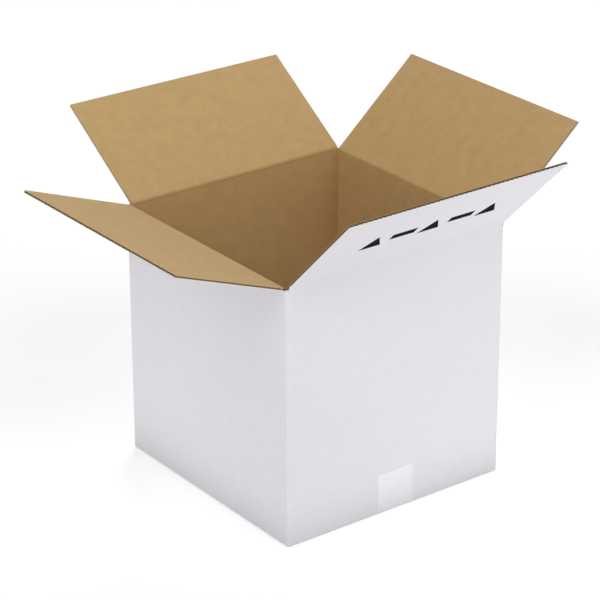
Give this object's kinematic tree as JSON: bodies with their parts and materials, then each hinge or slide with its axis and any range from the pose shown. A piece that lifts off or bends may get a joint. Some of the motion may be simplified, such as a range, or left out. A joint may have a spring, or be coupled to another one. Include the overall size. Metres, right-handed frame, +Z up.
{
  "type": "open cardboard box",
  "caption": "Cube carton of corrugated board, white outside and brown inside, its top flaps standing open on fold hinges and its bottom closed and taped.",
  "frame": {"origin": "centre of the base, on the underside of the tape, which is the plane that the box stands on", "axes": "+X along the front wall from the left wall to the right wall, +Y from the front wall to the back wall, +Z up"},
  "size_m": [0.5558, 0.5328, 0.4208],
  "materials": {
    "board_outside": "matt white liner",
    "board_inside": "brown kraft liner",
    "packing_tape": "clear film over white board"
  },
  "bodies": {
    "carton": {"carton_body": "board_outside", "bottom_tape": "packing_tape"},
    "front_flap": {"front_flap": "board_outside"},
    "back_flap": {"back_flap": "board_inside"},
    "left_flap": {"left_flap": "board_inside"},
    "right_flap": {"right_flap": "board_inside"}
  },
  "joints": [
    {"name": "front_flap_fold", "type": "hinge", "parent": "carton", "child": "front_flap", "pos_m": [0, -0.153, 0.3142], "axis": [1, 0, 0], "range_deg": [-135, 130]},
    {"name": "back_flap_fold", "type": "hinge", "parent": "carton", "child": "back_flap", "pos_m": [0, 0.153, 0.3142], "axis": [-1, 0, 0], "range_deg": [-146, 119]},
    {"name": "left_flap_fold", "type": "hinge", "parent": "carton", "child": "left_flap", "pos_m": [-0.153, 0, 0.3111], "axis": [0, -1, 0], "range_deg": [-159.5, 105.5]},
    {"name": "right_flap_fold", "type": "hinge", "parent": "carton", "child": "right_flap", "pos_m": [0.153, 0, 0.3111], "axis": [0, 1, 0], "range_deg": [-139, 126]}
  ]
}
